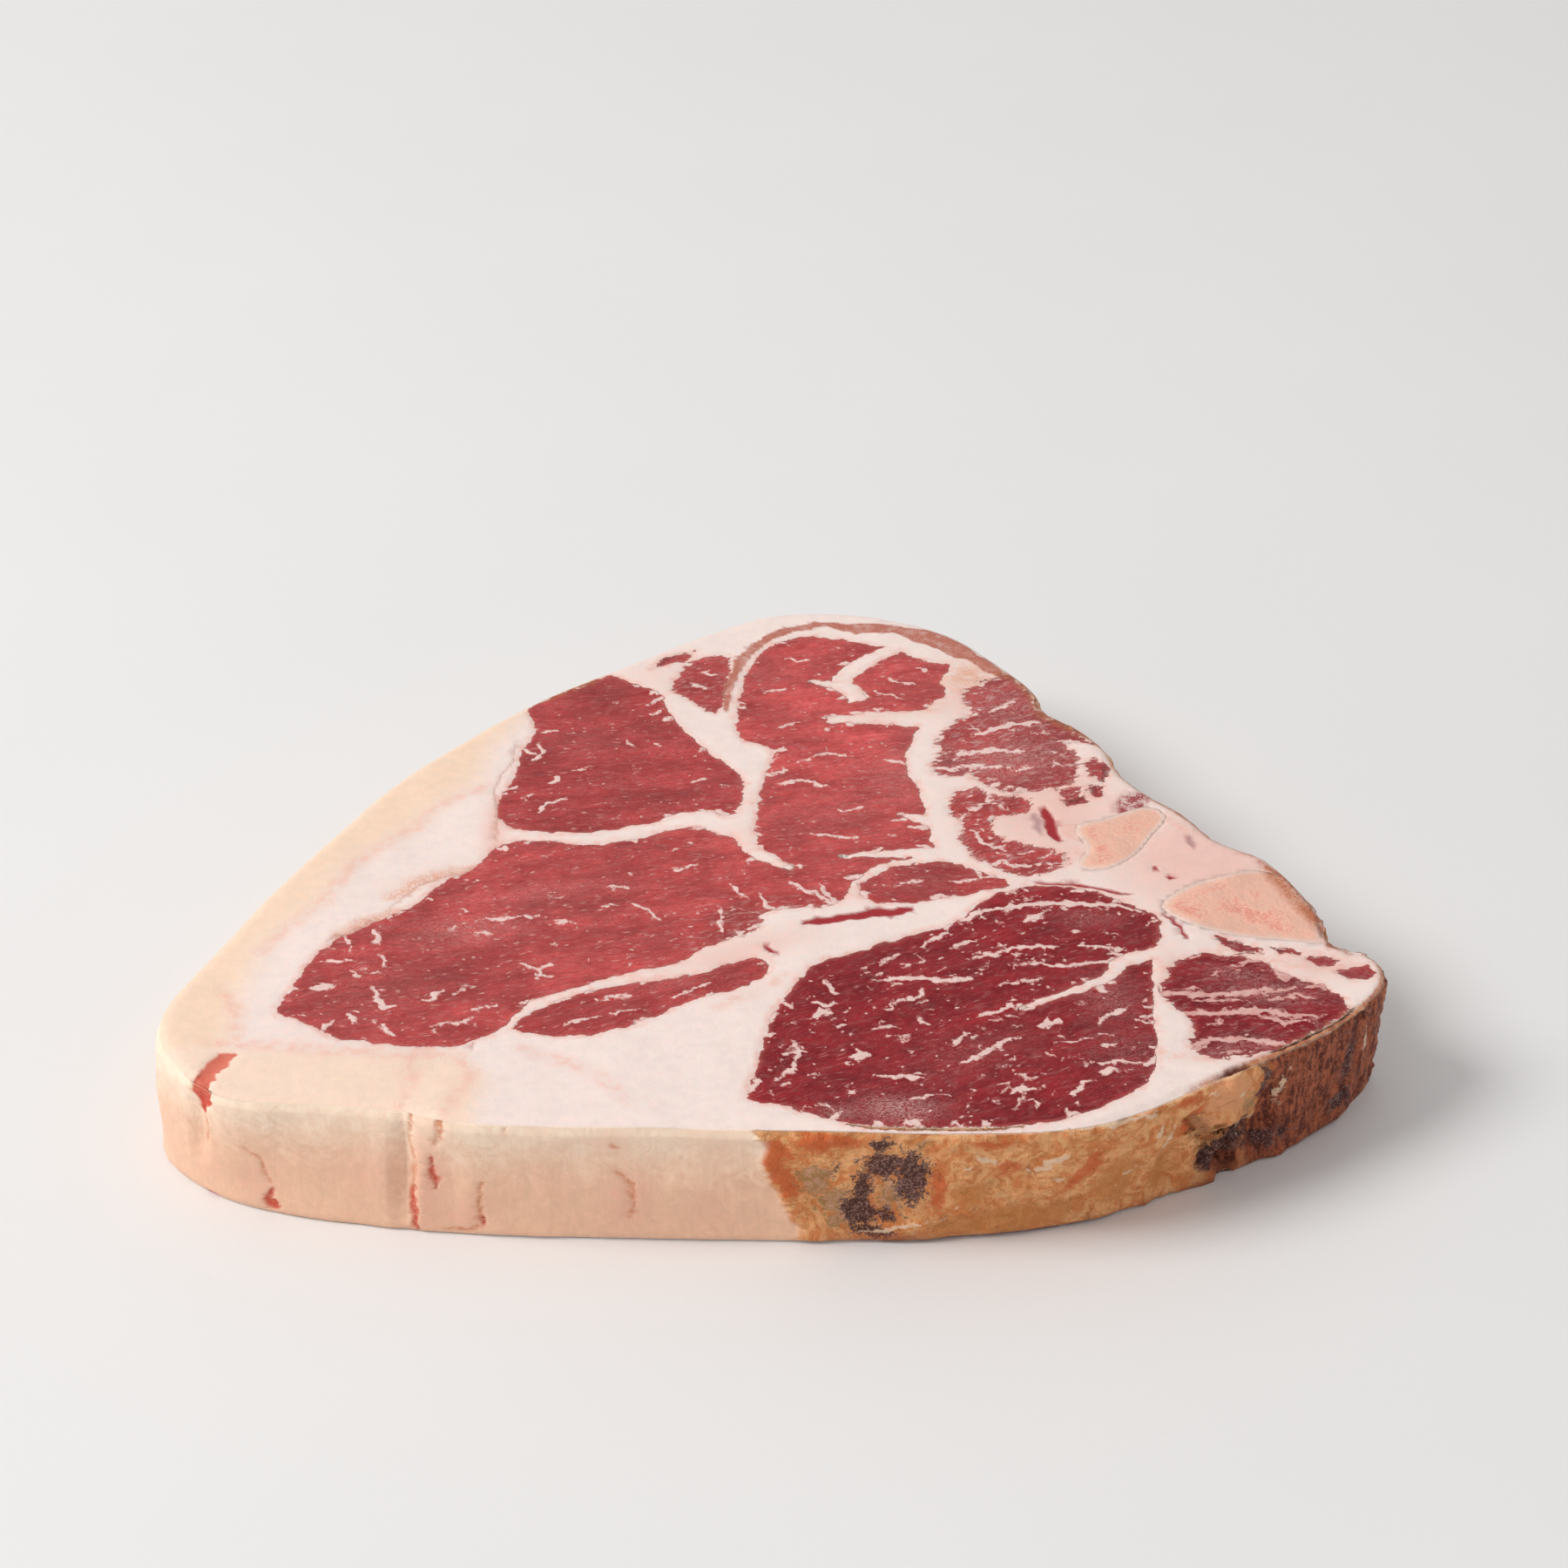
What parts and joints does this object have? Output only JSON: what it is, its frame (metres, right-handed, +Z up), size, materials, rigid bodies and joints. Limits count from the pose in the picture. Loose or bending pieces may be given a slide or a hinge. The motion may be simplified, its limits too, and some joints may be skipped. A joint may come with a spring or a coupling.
{
  "type": "raw bone-in beef steak",
  "caption": "Flat, thick raw steak cut across the loin: marbled lean muscles set in pale fat, sawn bone at one side and a dried, browned edge.",
  "frame": {"origin": "middle of the steak's bounding box in plan, on the cut face that it lies on", "axes": "+X along the longest side, from the pointed end with fat only towards the bones; +Y from the tenderloin's edge towards the narrow end; +Z up through the thickness, out of the shown cut face"},
  "size_m": [0.2592, 0.2068, 0.03],
  "materials": {
    "lean": "moist raw lean beef, satin, finely marbled",
    "dark_lean": "moist dark raw lean, satin, marbled",
    "fat": "waxy pale raw fat, dried to a tan crust on part of the rim",
    "bone": "matt sawn bone, pinkish"
  },
  "bodies": {
    "root": {"fat": "fat", "rump_muscle": "lean", "rump_cap_muscle": "lean", "rump_edge_muscle": "lean", "tenderloin_muscle": "dark_lean", "loin_eye_muscle": "lean", "loin_hook_muscle": "lean", "seam_muscle": "lean", "side_muscle": "dark_lean", "tip_muscle": "lean", "arch_bone": "bone", "body_bone": "bone"}
  },
  "joints": []
}
